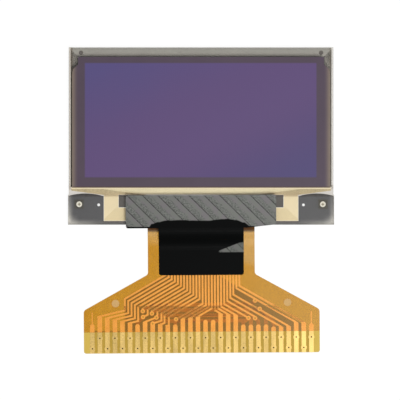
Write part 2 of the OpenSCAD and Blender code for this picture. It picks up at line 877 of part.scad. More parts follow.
front_glass();
cover_glass();
glass_seal();
emitter_layers();
cathode_film();
moisture_absorber();
polarizer();
top_marks();
left_metal_panel();
right_metal_panel();
lead_field();
ledge_coating();
driver_chip();
chip_bond_film();
tail_bond_film();
tail_base_film();
front_traces();
rear_traces();
front_cover_film();
rear_cover_film();
front_contact_gold();
rear_contact_gold();
hole_plating();
ledge_tape();
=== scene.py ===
"""Finishes and studio for a small display panel with a flexible tail."""

import math

import bpy
import mathutils
from bpy.props import FloatProperty, FloatVectorProperty, PointerProperty
from bpy.types import Operator, Panel, PropertyGroup
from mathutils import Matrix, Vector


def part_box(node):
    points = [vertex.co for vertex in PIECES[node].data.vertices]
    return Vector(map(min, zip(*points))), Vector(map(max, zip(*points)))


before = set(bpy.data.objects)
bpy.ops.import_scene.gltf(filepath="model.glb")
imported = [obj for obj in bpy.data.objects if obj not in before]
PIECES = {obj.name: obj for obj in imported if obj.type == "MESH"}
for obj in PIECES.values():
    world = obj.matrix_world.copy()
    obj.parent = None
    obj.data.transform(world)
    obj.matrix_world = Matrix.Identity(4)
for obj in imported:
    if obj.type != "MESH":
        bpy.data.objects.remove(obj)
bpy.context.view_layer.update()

bl_info = {
    "name": "Display Panel Finishes",
    "version": (1, 0, 0),
    "blender": (4, 5, 0),
    "location": "3D View > Sidebar > Display Panel",
    "description": "Gives each piece of a small display panel its finish and builds the studio",
    "category": "Object",
}

# Millimetres in a metre
MM = 1000.0


def tone(red, green, blue):
    """A colour written as on screen, 0 to 255, as the linear values that shaders use."""
    parts = []
    for level in (red, green, blue):
        level /= 255.0
        parts.append(level / 12.92 if level <= 0.04045 else ((level + 0.055) / 1.055) ** 2.4)
    return tuple(parts)


def span(node):
    """Left, right, lower and upper edge of a CAD node in millimetres."""
    low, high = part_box(node)
    return low.x * MM, high.x * MM, low.y * MM, high.y * MM


GLASS_LEFT, GLASS_RIGHT, GLASS_FOOT, GLASS_TOP = span("front_glass")

# Distance of the cross marks from the side of the glass and from its lower edge
CROSS_SIDE = 1.42
CROSS_UP = 2.65
# Half the width of the windows around them
CROSS_WINDOW = 0.6
# How far the tail and the tape are turned, in degrees
TAIL_TURN = 0.4
# Height of the finest bumps
FINE = 0.0005
# Most values of a noise lie between these two
NOISE_LOW = 0.3
NOISE_HIGH = 0.7


# ---------------------------------------------------------------- node recipes


class Recipe:
    """A material that is being mixed. Lengths and coordinates are in millimetres."""

    # What a smooth clear surface reflects when it is seen face on, and what a glancing view adds
    GLOSS_FACE_ON = 0.03
    GLOSS_GLANCING = 0.6
    BUMP_STRENGTH = 0.6

    def __init__(self, name):
        self.material = bpy.data.materials.new(name)
        self.material.use_nodes = True
        self.tree = self.material.node_tree
        self.tree.nodes.clear()
        place = self.add("ShaderNodeTexCoord").outputs
        self.position = self.vector("SCALE", place["Object"], scale=MM)
        parts = self.add("ShaderNodeSeparateXYZ", Vector=self.position).outputs
        self.x, self.y, self.z = parts["X"], parts["Y"], parts["Z"]
        self.facing = self.add("ShaderNodeSeparateXYZ", Vector=place["Normal"]).outputs["Z"]
        self.flatness = self.absolute(self.facing)

    def add(self, kind, settings=None, **inputs):
        """A node with its settings and its inputs, each a value or another node's output."""
        node = self.tree.nodes.new(kind)
        for key, value in (settings or {}).items():
            setattr(node, key, value)
        for key, value in inputs.items():
            self.feed(node.inputs[key.replace("_", " ")], value)
        return node

    def feed(self, socket, value):
        if isinstance(value, bpy.types.NodeSocket):
            self.tree.links.new(value, socket)
        elif socket.type == "RGBA":
            socket.default_value = (*value[:3], 1.0)
        else:
            socket.default_value = value

    def math(self, operation, *values):
        node = self.add("ShaderNodeMath", {"operation": operation})
        for socket, value in zip(node.inputs, values):
            self.feed(socket, value)
        return node.outputs[0]

    def times(self, first, *others):
        for other in others:
            first = self.math("MULTIPLY", first, other)
        return first

    def plus(self, first, second):
        return self.math("ADD", first, second)

    def minus(self, first, second):
        return self.math("SUBTRACT", first, second)

    def absolute(self, value):
        return self.math("ABSOLUTE", value)

    def vector(self, operation, *values, scale=None):
        node = self.add("ShaderNodeVectorMath", {"operation": operation})
        for socket, value in zip(node.inputs, values):
            self.feed(socket, value)
        if scale is not None:
            node.inputs["Scale"].default_value = scale
        return node.outputs[0]

    def rise(self, value, start, end, low=0.0, high=1.0):
        """Goes smoothly from low to high while value goes from start to end."""
        node = self.add("ShaderNodeMapRange", {"interpolation_type": "SMOOTHSTEP"})
        names = ("Value", "From Min", "From Max", "To Min", "To Max")
        for key, number in zip(names, (value, start, end, low, high)):
            self.feed(node.inputs[key], number)
        return node.outputs["Result"]

    def vary(self, noise, low, high):
        """Goes from low to high with the clouds of a noise."""
        return self.rise(noise, NOISE_LOW, NOISE_HIGH, low, high)

    def window(self, left, right, low, high, soft=0.05):
        """1 inside a rectangle and 0 outside it, with soft edges."""
        return self.times(
            self.rise(self.x, left - soft, left + soft),
            self.rise(self.x, right + soft, right - soft),
            self.rise(self.y, low - soft, low + soft),
            self.rise(self.y, high + soft, high - soft),
        )

    def turned(self):
        """Distances across and down the tail, which lies a little turned."""
        turn = math.sin(math.radians(TAIL_TURN))
        rise = self.minus(self.y, GLASS_FOOT)
        across = self.math("MULTIPLY_ADD", rise, turn, self.x)
        down = self.math("MULTIPLY_ADD", self.x, turn, self.times(rise, -1.0))
        return across, down

    def either(self, first, second):
        return self.math("MAXIMUM", first, second)

    def noise(self, size, detail=3.0, roughness=0.55, stretch=(1.0, 1.0, 1.0), seed=0.0):
        """Cloudy variation with spots of about the given size."""
        spread = self.vector("MULTIPLY", self.position, tuple(s / size for s in stretch))
        place = self.vector("ADD", spread, (seed, seed * 1.7, seed * 0.6))
        node = self.add("ShaderNodeTexNoise", Vector=place, Scale=1.0, Detail=detail, Roughness=roughness)
        return node.outputs["Fac"]

    def mix(self, share, first, second):
        node = self.add("ShaderNodeMix", {"data_type": "RGBA"})
        self.feed(node.inputs["Factor"], share)
        self.feed(node.inputs[6], first)
        self.feed(node.inputs[7], second)
        return node.outputs[2]

    def shade(self, colour, factor):
        """A colour made lighter or darker by a varying factor."""
        node = self.add("ShaderNodeMix", {"data_type": "RGBA", "blend_type": "MULTIPLY"})
        grey = self.add("ShaderNodeCombineColor", Red=factor, Green=factor, Blue=factor).outputs[0]
        node.inputs["Factor"].default_value = 1.0
        self.feed(node.inputs[6], colour)
        self.feed(node.inputs[7], grey)
        return node.outputs[2]

    def curve(self, value, stops):
        """A number that follows stops of (value, result), with results from 0 to 1."""
        first, last = stops[0][0], stops[-1][0]
        spread = self.math("DIVIDE", self.minus(value, first), last - first)
        ramp = self.add("ShaderNodeValToRGB", {}, Fac=spread)
        ramp.color_ramp.interpolation = "EASE"
        points = ramp.color_ramp.elements
        while len(points) < len(stops):
            points.new(0.5)
        for point, (at, result) in zip(points, stops):
            point.position = (at - first) / (last - first)
            point.color = (result, result, result, 1.0)
        return ramp.outputs["Color"]

    def bump(self, height, depth):
        """A bumped normal; depth is the real height of the bumps in millimetres."""
        node = self.add("ShaderNodeBump", Height=height)
        node.inputs["Strength"].default_value = self.BUMP_STRENGTH
        node.inputs["Distance"].default_value = depth / MM
        return node.outputs["Normal"]

    def surface(self, colour, roughness, metallic=0.0, normal=None, specular=0.5):
        node = self.add("ShaderNodeBsdfPrincipled")
        self.feed(node.inputs["Base Color"], colour)
        self.feed(node.inputs["Roughness"], roughness)
        node.inputs["Metallic"].default_value = metallic
        node.inputs["Specular IOR Level"].default_value = specular
        if normal is not None:
            self.feed(node.inputs["Normal"], normal)
        return node.outputs[0]

    def clear(self, tint):
        return self.add("ShaderNodeBsdfTransparent", Color=tint).outputs[0]

    def blend(self, share, first, second):
        node = self.add("ShaderNodeMixShader")
        self.feed(node.inputs[0], share)
        self.feed(node.inputs[1], first)
        self.feed(node.inputs[2], second)
        return node.outputs[0]

    def polish(self, shader, roughness=0.05, normal=None, strength=1.0):
        """Adds the reflection of a smooth clear surface, which is strongest at a glancing angle."""
        glance = self.add("ShaderNodeLayerWeight").outputs["Facing"]
        glance = self.math("POWER", glance, 5.0)
        share = self.math("MULTIPLY_ADD", glance, self.GLOSS_GLANCING, self.GLOSS_FACE_ON)
        share = self.times(share, strength)
        gloss = self.add("ShaderNodeBsdfGlossy", Color=(1.0, 1.0, 1.0), Roughness=roughness)
        if normal is not None:
            self.feed(gloss.inputs["Normal"], normal)
        return self.blend(share, shader, gloss.outputs[0])

    def edged(self, edge, face, steep=0.3, flat=0.6):
        """One shader on the edges of a piece and another on its flat faces."""
        return self.blend(self.rise(self.flatness, steep, flat), edge, face)

    def cover(self, colour, grain, rough, depth, *names, metallic=0.0, specular=0.5, height=None):
        """Dresses pieces in an opaque surface whose roughness and bumps follow a grain."""
        normal = self.bump(grain if height is None else height, depth)
        shader = self.surface(colour, self.vary(grain, *rough), metallic, normal, specular)
        dress(self.done(shader), *names)

    def done(self, shader):
        output = self.add("ShaderNodeOutputMaterial")
        self.tree.links.new(shader, output.inputs["Surface"])
        return self.material


def dress(material, *names):
    """Puts a material on CAD nodes."""
    for name in names:
        piece = PIECES[name]
        if not piece.material_slots:
            piece.data.materials.append(material)
        for slot in piece.material_slots:
            slot.material = material


# ---------------------------------------------------------------- settings


def shade_of(name, description, colour):
    return FloatVectorProperty(
        name=name, description=description, default=colour, size=3, min=0.0, max=1.0, subtype="COLOR"
    )


def number_of(name, description, default, low, high, **kind):
    return FloatProperty(name=name, description=description, default=default, min=low, max=high, **kind)


def length_of(name, description, default, low=-1.0, high=1.0):
    return number_of(name, description, default, low, high, unit="LENGTH", subtype="DISTANCE")


class GlassLook(PropertyGroup):
    clear_tint: shade_of("Clear tint", "What a face of clear glass lets through", (0.985, 0.983, 0.975))
    # Painted shade: the darker tint of the line beside the ground edge
    rim_shade_tint: shade_of("Rim tint", "What a face lets through by the ground edge", (0.84, 0.81, 0.77))
    # Painted shade: the darker tint in the wedge of bare glass above the panels
    wedge_shade_tint: shade_of("Wedge tint", "What a face lets through above the panels", (0.62, 0.57, 0.51))
    window_tint: shade_of("Window tint", "What a face lets through at the cross marks", (0.9, 0.88, 0.81))
    ground_edge: shade_of("Ground edge", "Colour of the glasses' ground edges", tone(205, 201, 190))
    glue: shade_of("Glue", "Colour of the glue line", tone(166, 161, 153))
    glue_top: shade_of("Glue at top", "Colour of the glue line along the top edge", tone(161, 159, 152))
    frost: shade_of("Frost", "Colour of the etched pocket of the rear glass", tone(176, 180, 178))


class ScreenLook(PropertyGroup):
    picture: shade_of("Picture", "Colour of the picture area", tone(95, 76, 120))
    picture_cool: shade_of("Cool picture", "Colour of its bluer corners", tone(87, 78, 126))
    border: shade_of("Border", "Colour of the border around the picture", tone(82, 70, 83))
    border_warm: shade_of("Warm border", "Colour of the border at its outer edge", tone(130, 116, 104))
    border_foot: shade_of("Border foot", "Colour of the border along its lower edge", tone(88, 68, 50))
    marks: shade_of("Top marks", "Colour of the round marks in the top corners", tone(96, 90, 85))
    cathode: shade_of("Cathode", "Colour of the metal cathode", tone(200, 202, 206))
    absorber: shade_of("Absorber", "Colour of the moisture absorber", tone(226, 225, 218))
    dot_pitch: length_of("Dot pitch", "Distance between lines of light dots", 0.0002367, 0.0001, 0.001)


class LedgeLook(PropertyGroup):
    panel: shade_of("Metal panels", "Colour of the dark metal panels", tone(84, 84, 87))
    # Painted light: the pale colour that the ground edges scatter onto the panels
    panel_edge: shade_of("Panel edge", "Colour of the panels by the ground edge", tone(215, 212, 206))
    rail: shade_of("Rail line", "Colour of the fine line along the rail", tone(92, 76, 60))
    cross: shade_of("Cross marks", "Colour of the cross marks in the panels", tone(158, 153, 140))
    coating: shade_of("Coating", "Colour of the protective coating", tone(243, 226, 186))
    coating_thin: shade_of("Thin coating", "Colour of the coating where it is thin", tone(233, 215, 171))
    # Painted highlight along the coating's upper edge, where the polarizer's edge shades it
    coating_top_highlight: shade_of("Coating at top", "Colour of its upper edge", (1.0, 0.9, 0.6))
    leads: shade_of("Leads", "Colour of the lead pattern", tone(92, 88, 84))
    silicon: shade_of("Silicon", "Colour of the bare driver chip", tone(92, 96, 104))
    bond: shade_of("Bond films", "Colour of the bond films", tone(176, 170, 150))


class TapeLook(PropertyGroup):
    # The tape is black; the greys below are a painted reflection on its flat part, striped with its texture
    black: shade_of("Black", "Colour of the tape where it is free of the glass", tone(6, 7, 7))
    grey: shade_of("Grey", "Colour of the tape's smooth stripes", tone(116, 118, 113))
    grey_warm: shade_of("Warm grey", "Second colour of the smooth stripes", tone(118, 115, 116))
    grey_dark: shade_of("Mottled grey", "Colour of the tape's mottled stripes", tone(108, 110, 106))
    stripe_pitch: length_of("Stripe pitch", "Distance between its stripes", 0.00199, 0.0005, 0.006)
    stripe_lean: number_of("Stripe lean", "Sideways move of a stripe on its way down", 1.0, -2.0, 2.0)


class TailLook(PropertyGroup):
    cover_tint: shade_of("Cover tint", "What a face of a cover film lets through", (0.985, 0.88, 0.53))
    base_tint: shade_of("Base tint", "What a face of the base film lets through", (0.83, 0.71, 0.33))
    amber: shade_of("Amber", "Colour of the films' own body", tone(205, 142, 52))
    copper: shade_of("Copper", "Colour of the front copper", (0.73, 0.43, 0.33))
    rear_copper: shade_of("Rear copper", "Colour of the rear copper", (0.68, 0.48, 0.36))
    gold: shade_of("Gold", "Colour of the plated contacts", (0.52, 0.36, 0.12))
    locator: shade_of("Locator marks", "Colour of the marks on the shoulders", tone(226, 184, 136))
    shadow: shade_of("Neck shadow", "Colour of the dark line at the top of the neck", tone(84, 47, 8))
    # Painted highlight on the bend of the neck, with a paler tone towards the right shoulder
    bend_highlight: shade_of("Crease", "Colour of the pale haze where the tail bends down", tone(222, 196, 150))
    film_body: number_of("Film body", "How much of a film face is opaque", 0.03, 0.0, 1.0, subtype="FACTOR")


class StudioLook(PropertyGroup):
    view_width: length_of("View width", "Width of the view at the part", 0.05208, 0.01)
    view_right: length_of("View to the right", "Centre of the view, right of the origin", -0.000137)
    view_up: length_of("View up", "Centre of the view, above the origin", -0.010647)
    lens: number_of("Lens", "Focal length", 200.0, 20.0, 500.0, unit="CAMERA")
    lamp_power: number_of("Lamp power", "Power of the soft lamp", 1.05, 0.0, 10.0, unit="POWER")
    sky_level: number_of("Sky level", "Light of the surroundings", 0.42, 0.0, 2.0, subtype="FACTOR")


# ---------------------------------------------------------------- glass


class DISPLAY_OT_front_glass(Operator):
    """Clear front glass with ground edges"""

    bl_idname = "display.front_glass"
    bl_label = "Front glass"

    def execute(self, context):
        look = context.scene.display_glass
        recipe = Recipe("Clear front glass")
        haze = recipe.noise(6.0, 2.0)
        # Painted shade beside the ground edge
        tint = recipe.mix(self.rim(recipe), look.clear_tint, look.rim_shade_tint)
        # Painted shade in the wedge above the panels
        tint = recipe.mix(self.wedge(recipe), tint, look.wedge_shade_tint)
        tint = recipe.mix(self.cross_windows(recipe), tint, look.window_tint)
        dust = recipe.surface(look.ground_edge, 0.4)
        body = recipe.blend(recipe.rise(haze, 0.3, 0.8, 0.0, 0.02), recipe.clear(tint), dust)
        bead = recipe.surface(context.scene.display_ledge.coating, 0.5)
        body = recipe.blend(recipe.times(self.seam(recipe), 0.85), body, bead)
        face = recipe.polish(body, recipe.rise(haze, 0.2, 0.8, 0.03, 0.09))
        grain = recipe.noise(0.05, 4.0, 0.7)
        ground = recipe.shade(look.ground_edge, recipe.vary(grain, 0.88, 1.06))
        ground = recipe.surface(ground, 0.55, normal=recipe.bump(grain, 0.01))
        edge = recipe.blend(0.62, recipe.clear(look.clear_tint), ground)
        dress(recipe.done(recipe.edged(edge, face)), "front_glass")
        return {"FINISHED"}

    @staticmethod
    def seam(recipe):
        """The bead of coating that has crept along the foot of the cover glass."""
        foot = span("cover_glass")[2]
        inset = 0.45
        return recipe.window(GLASS_LEFT + inset, GLASS_RIGHT - inset, foot - 0.08, foot + 0.12, 0.02)

    @staticmethod
    def cross_windows(recipe):
        """The two windows with the cross marks."""
        aside = recipe.minus(recipe.minus(GLASS_RIGHT, recipe.absolute(recipe.x)), CROSS_SIDE)
        along = recipe.minus(recipe.minus(recipe.y, GLASS_FOOT), CROSS_UP)
        apart = recipe.math("MAXIMUM", recipe.absolute(aside), recipe.absolute(along))
        return recipe.rise(apart, CROSS_WINDOW + 0.05, CROSS_WINDOW - 0.05)

    @staticmethod
    def rim(recipe):
        """Painted shade: a darker line beside the ground edge where two glasses lie on each other,
        strongest on the left, away from the lamp.
        """
        side = recipe.minus(GLASS_RIGHT, recipe.absolute(recipe.x))
        cover_foot = span("cover_glass")[2]
        return recipe.times(
            recipe.rise(side, 0.75, 0.35),
            recipe.rise(recipe.y, cover_foot - 0.3, cover_foot),
            recipe.rise(recipe.x, -10.0, 10.0, 1.0, 0.45),
        )

    @staticmethod
    def wedge(recipe):
        """The thin wedge of bare glass between a metal panel and the coating, darkened by painted shade
        that deepens towards its narrow inner tip.
        """
        right, _, arch = span("left_metal_panel")[1:]
        inward = recipe.minus(recipe.absolute(recipe.x), -right)
        slope = 0.134
        line = recipe.math("MULTIPLY_ADD", inward, slope, arch - 0.22)
        return recipe.times(
            recipe.rise(recipe.minus(line, recipe.y), -0.02, 0.04),
            recipe.rise(recipe.y, arch - 0.5, arch - 0.3),
            recipe.rise(inward, -0.15, 0.1),
            recipe.rise(inward, 0.6, 3.6, 1.0, 0.4),
        )


class DISPLAY_OT_cover_glass(Operator):
    """Rear cover glass, clear at its rim and frosted over its etched pocket"""

    bl_idname = "display.cover_glass"
    bl_label = "Cover glass"

    # How far the glue's colour reaches down behind the polarizer's upper edge
    GLUE_REACH = 1.5

    def execute(self, context):
        look = context.scene.display_glass
        recipe = Recipe("Etched cover glass")
        left, right, low, high = span("cathode_film")
        pocket = recipe.window(left, right, low, high, 0.12)
        etch = recipe.noise(0.12, 4.0, 0.65)
        frost = recipe.shade(look.frost, recipe.vary(etch, 0.93, 1.05))
        frost = recipe.surface(frost, recipe.vary(etch, 0.3, 0.5))
        body = recipe.blend(recipe.times(pocket, 0.28), recipe.clear(look.clear_tint), frost)
        left, right, _, _ = span("glass_seal")
        above = recipe.window(left, right, span("polarizer")[3] - self.GLUE_REACH, GLASS_TOP, 0.05)
        body = recipe.blend(recipe.times(above, 0.92), body, recipe.surface(look.glue_top, 0.5))
        face = recipe.polish(body, recipe.vary(etch, 0.05, 0.14))
        ground = recipe.surface(look.ground_edge, 0.55, normal=recipe.bump(etch, 0.01))
        edge = recipe.blend(0.6, recipe.clear(look.clear_tint), ground)
        dress(recipe.done(recipe.edged(edge, face)), "cover_glass")
        return {"FINISHED"}


class DISPLAY_OT_glue(Operator):
    """Grey glue line between the glasses"""

    bl_idname = "display.glue"
    bl_label = "Glue line"

    def execute(self, context):
        look = context.scene.display_glass
        recipe = Recipe("Cured glue line")
        blotch = recipe.noise(4.0, 2.0, 0.5)
        grain = recipe.noise(0.2, 3.0, 0.6)
        top = recipe.rise(recipe.y, GLASS_TOP - 1.3, GLASS_TOP - 0.3)
        colour = recipe.shade(recipe.mix(top, look.glue, look.glue_top), recipe.vary(blotch, 0.97, 1.03))
        recipe.cover(colour, grain, (0.5, 0.6), FINE, "glass_seal")
        return {"FINISHED"}


class DISPLAY_OT_inner_films(Operator):
    """Light-emitting layers, metal cathode and moisture absorber"""

    bl_idname = "display.inner_films"
    bl_label = "Inner films"

    def execute(self, context):
        look = context.scene.display_screen
        emitter = Recipe("Light-emitting layers")
        cloud = emitter.noise(5.0, 2.0)
        colour = emitter.mix(cloud, look.picture, look.picture_cool)
        emitter.cover(colour, cloud, (0.2, 0.35), FINE, "emitter_layers")

        cathode = Recipe("Evaporated cathode")
        cloud = cathode.noise(3.0, 3.0)
        metal = cathode.shade(look.cathode, cathode.vary(cloud, 0.94, 1.04))
        cathode.cover(metal, cloud, (0.16, 0.3), FINE, "cathode_film", metallic=1.0)

        absorber = Recipe("Moisture absorber sheet")
        fibre = absorber.noise(0.25, 5.0, 0.7, (1.0, 2.5, 1.0))
        sheet = absorber.shade(look.absorber, absorber.vary(fibre, 0.92, 1.04))
        absorber.cover(sheet, fibre, (0.7, 0.9), 0.02, "moisture_absorber")
        return {"FINISHED"}


class DISPLAY_OT_polarizer(Operator):
    """Dark polarizer with the violet picture area showing through"""

    bl_idname = "display.polarizer"
    bl_label = "Polarizer"

    def execute(self, context):
        look = context.scene.display_screen
        recipe = Recipe("Polarizer over the picture area")
        left, right, low, high = span("emitter_layers")
        inside = recipe.window(left + 0.1, right - 0.2, low, high, 0.1)
        colour = recipe.mix(inside, self.border(recipe, look), self.picture(recipe, look))
        haze = recipe.noise(0.08, 4.0, 0.6)
        recipe.cover(colour, haze, (0.3, 0.42), 0.002, "polarizer", specular=0.2)
        return {"FINISHED"}

    @staticmethod
    def picture(recipe, look):
        """The violet picture area, bluer in two corners, with its fine dark lines."""
        corner = recipe.plus(recipe.times(recipe.x, -0.5), recipe.y)
        cool = recipe.either(recipe.rise(corner, 1.0, 14.0), recipe.rise(corner, -4.0, -15.0))
        cool = recipe.times(cool, recipe.rise(recipe.noise(9.0, 2.0), 0.2, 0.7, 0.6, 1.0))
        colour = recipe.mix(cool, look.picture, look.picture_cool)
        pitch = look.dot_pitch * MM
        lines = []
        for along in (recipe.x, recipe.y):
            lines.append(recipe.rise(recipe.math("PINGPONG", along, pitch / 2), pitch * 0.12, 0.0))
        colour = recipe.shade(colour, recipe.rise(recipe.either(*lines), 0.0, 1.0, 1.0, 0.93))
        return recipe.shade(colour, recipe.rise(corner, -2.0, -14.0, 1.0, 0.84))

    @staticmethod
    def border(recipe, look):
        """The border around the picture, warmer at its sides and brown along its foot."""
        left, right, low, _ = span("polarizer")
        from_left = recipe.rise(recipe.x, left + 0.95, left - 0.1)
        from_right = recipe.rise(recipe.x, right - 0.95, right + 0.1)
        warm = recipe.math("POWER", recipe.either(from_left, from_right), 1.6)
        colour = recipe.mix(warm, look.border, look.border_warm)
        colour = recipe.shade(colour, recipe.vary(recipe.noise(2.5), 0.97, 1.03))
        foot = recipe.rise(recipe.y, low + 0.22, low + 0.05)
        return recipe.mix(recipe.times(foot, 0.7), colour, look.border_foot)


class DISPLAY_OT_top_marks(Operator):
    """Dark round marks in the top corners"""

    bl_idname = "display.top_marks"
    bl_label = "Top marks"

    def execute(self, context):
        recipe = Recipe("Mark film")
        grain = recipe.noise(0.1, 3.0)
        colour = recipe.shade(context.scene.display_screen.marks, recipe.vary(grain, 0.9, 1.1))
        recipe.cover(colour, grain, (0.4, 0.55), 0.001, "top_marks")
        return {"FINISHED"}


# ---------------------------------------------------------------- ledge


class DISPLAY_OT_metal_panels(Operator):
    """Dark metal panels, lightened where the ground glass edge scatters light"""

    bl_idname = "display.metal_panels"
    bl_label = "Metal panels"

    def execute(self, context):
        look = context.scene.display_ledge
        recipe = Recipe("Dark metal film")
        from_side = recipe.minus(GLASS_RIGHT, recipe.absolute(recipe.x))
        from_foot = recipe.minus(recipe.y, GLASS_FOOT)
        light = self.scattered(recipe, from_side, from_foot)
        colour = recipe.mix(light, look.panel, look.panel_edge)
        rail = recipe.times(
            recipe.rise(from_foot, 0.26, 0.36),
            recipe.rise(from_foot, 0.56, 0.48),
            recipe.rise(from_side, 4.4, 4.7),
        )
        colour = recipe.mix(recipe.times(rail, 0.7), colour, look.rail)
        aside = recipe.absolute(recipe.minus(from_side, CROSS_SIDE))
        along = recipe.absolute(recipe.minus(from_foot, CROSS_UP))
        colour = recipe.mix(recipe.rise(recipe.either(aside, along), 0.3, 0.24), colour, look.cross)
        grain = recipe.noise(0.35, 4.0, 0.6, (1.0, 3.0, 1.0))
        colour = recipe.shade(colour, recipe.vary(grain, 0.96, 1.04))
        panels = ("left_metal_panel", "right_metal_panel")
        recipe.cover(colour, grain, (0.35, 0.5), 0.002, *panels, specular=0.3)
        return {"FINISHED"}

    @staticmethod
    def scattered(recipe, from_side, from_foot):
        """Light that the ground edges scatter onto the panels, strongest in the corners."""
        height = span("left_metal_panel")[3] - GLASS_FOOT
        side = recipe.math("POWER", recipe.rise(from_side, 0.95, -0.25), 1.8)
        side = recipe.times(side, recipe.rise(from_foot, height, 0.0, 0.35, 1.0))
        foot = recipe.math("POWER", recipe.rise(from_foot, 1.0, -0.3), 1.8)
        foot = recipe.times(foot, recipe.rise(from_side, 5.0, 1.2, 0.3, 1.0))
        corner = recipe.times(recipe.rise(from_side, 1.6, 0.0), recipe.rise(from_foot, 1.5, 0.0))
        light = recipe.plus(recipe.either(side, foot), recipe.times(corner, 0.6))
        return recipe.math("MINIMUM", light, 1.0)


class DISPLAY_OT_lead_field(Operator):
    """Hair-thin leads around the driver chip"""

    bl_idname = "display.lead_field"
    bl_label = "Lead field"

    def execute(self, context):
        look = context.scene.display_ledge
        recipe = Recipe("Hair-thin leads")
        chip_low = span("driver_chip")[2]
        below = recipe.rise(recipe.y, chip_low, chip_low - 0.2)
        across = recipe.math("PINGPONG", recipe.x, 0.1)
        slanted = recipe.math("MULTIPLY_ADD", recipe.absolute(recipe.x), 0.16, recipe.y)
        fan = recipe.math("PINGPONG", slanted, 0.04)
        thick = recipe.rise(across, 0.035, 0.05)
        thin = recipe.rise(fan, 0.012, 0.022)
        leads = recipe.plus(recipe.times(below, thick), recipe.times(recipe.minus(1.0, below), thin))
        grain = recipe.noise(0.4, 3.0)
        level = recipe.times(recipe.rise(leads, 0.0, 1.0, 0.8, 1.15), recipe.vary(grain, 0.95, 1.05))
        colour = recipe.shade(look.leads, level)
        recipe.cover(colour, grain, (0.35, 0.5), 0.001, "lead_field", specular=0.3, height=leads)
        return {"FINISHED"}


class DISPLAY_OT_coating(Operator):
    """Cream protective coating on the ledge"""

    bl_idname = "display.coating"
    bl_label = "Ledge coating"

    def execute(self, context):
        look = context.scene.display_ledge
        recipe = Recipe("Cream coating")
        low, high = span("ledge_coating")[2:]
        inward = recipe.minus(recipe.absolute(recipe.x), span("lead_field")[1])
        slope = recipe.minus(recipe.math("MULTIPLY_ADD", inward, -1.0, 2.1), recipe.minus(recipe.y, low))
        thin = recipe.times(recipe.rise(slope, -0.05, 0.05), recipe.rise(recipe.y, low + 2.2, low + 1.2))
        flow = recipe.noise(1.6, 3.0, 0.5)
        pores = recipe.noise(0.12, 3.0, 0.6)
        colour = recipe.mix(thin, look.coating, look.coating_thin)
        # Painted highlight: the coating's upper edge, under the polarizer's edge, is made lighter
        colour = recipe.mix(recipe.rise(recipe.y, high - 1.0, high), colour, look.coating_top_highlight)
        colour = recipe.shade(colour, recipe.vary(flow, 0.98, 1.02))
        recipe.cover(colour, pores, (0.45, 0.65), 0.004, "ledge_coating")
        return {"FINISHED"}


class DISPLAY_OT_chip(Operator):
    """Bare driver chip and the two bond films"""

    bl_idname = "display.chip"
    bl_label = "Driver chip"

    def execute(self, context):
        look = context.scene.display_ledge
        silicon = Recipe("Ground bare silicon")
        swirl = silicon.noise(0.3, 4.0, 0.6, (6.0, 1.0, 1.0))
        colour = silicon.shade(look.silicon, silicon.vary(swirl, 0.85, 1.1))
        silicon.cover(colour, swirl, (0.14, 0.3), 0.002, "driver_chip", metallic=0.6)

        bond = Recipe("Cured bond film")
        specks = bond.noise(0.06, 3.0, 0.7)
        colour = bond.shade(look.bond, bond.rise(specks, 0.45, 0.7, 1.05, 0.7))
        bond.cover(colour, specks, (0.4, 0.6), 0.001, "chip_bond_film", "tail_bond_film")
        return {"FINISHED"}


# ---------------------------------------------------------------- tape


